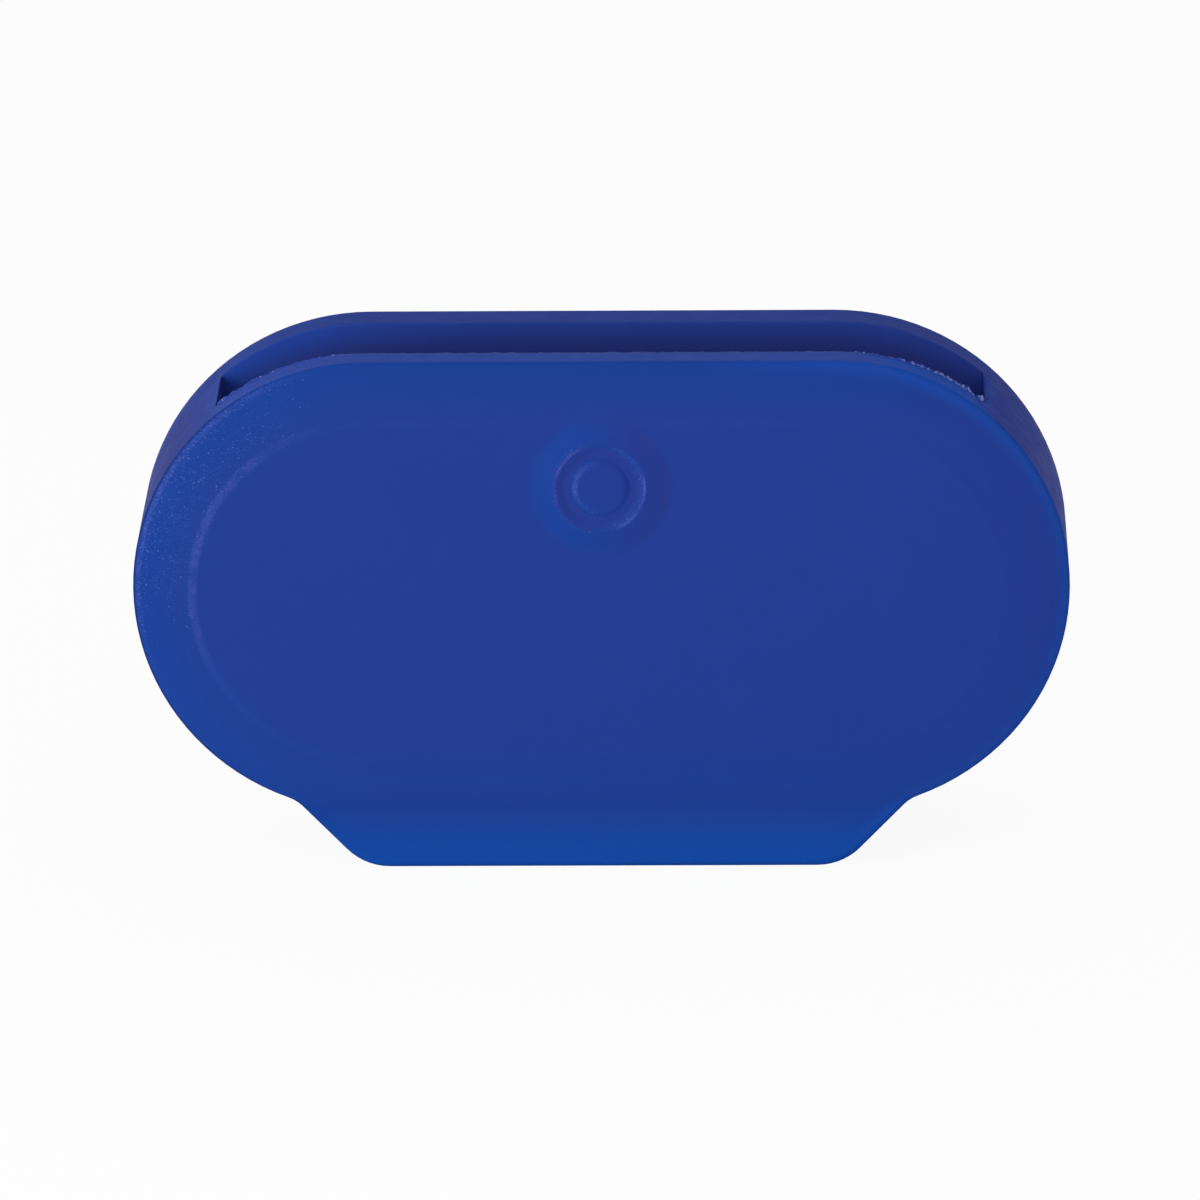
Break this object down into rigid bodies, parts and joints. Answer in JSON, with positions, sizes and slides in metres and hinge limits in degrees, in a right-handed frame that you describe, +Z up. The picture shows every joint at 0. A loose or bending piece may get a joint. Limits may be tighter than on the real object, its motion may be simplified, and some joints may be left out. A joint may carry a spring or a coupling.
{
  "type": "magnetic glass cleaner",
  "caption": "Magnetic aquarium glass cleaner: soft blue outer half with a finger slot, ringed thumb boss and flat foot, and a matching domed inner half that pulls off behind it.",
  "frame": {"origin": "middle of the box's underside, on the plane that the foot stands on", "axes": "+X along the width, +Y from the hand's half to the water's half, +Z up; the front in the picture faces -Y"},
  "size_m": [0.125, 0.036, 0.0705],
  "materials": {
    "soft_blue_shell": "matte, finely textured",
    "tray_plastic": "moulded",
    "plate_plastic": "moulded",
    "packing_foam": "closed-cell foam",
    "yoke_steel": "zinc plated",
    "magnet_nickel": "nickel plated",
    "screw_steel": "stainless",
    "seal_rubber": "matte",
    "felt": "pressed felt",
    "scrub_fibre": "coarse fibre",
    "blade_steel": "ground edge"
  },
  "bodies": {
    "dry_half": {"dry_shell": "soft_blue_shell", "dry_tray": "tray_plastic", "dry_packing_foam": "packing_foam", "dry_yoke_plate": "yoke_steel", "dry_magnet_left": "magnet_nickel", "dry_magnet_right": "magnet_nickel", "dry_base_plate": "plate_plastic", "dry_screws": "screw_steel", "felt_pad": "felt"},
    "wet_half": {"wet_shell": "soft_blue_shell", "wet_tray": "tray_plastic", "wet_packing_foam": "packing_foam", "wet_yoke_plate": "yoke_steel", "wet_magnet_left": "magnet_nickel", "wet_magnet_right": "magnet_nickel", "wet_seal": "seal_rubber", "wet_base_plate": "plate_plastic", "wet_screws": "screw_steel", "scrub_pad": "scrub_fibre", "scraper_blade": "blade_steel"}
  },
  "joints": [
    {"name": "wet_half_pull", "type": "slide", "parent": "dry_half", "child": "wet_half", "axis": [0, 1, 0], "range_m": [0, 0.05], "stiffness_N_per_m": 20, "springref_m": -0.5}
  ]
}
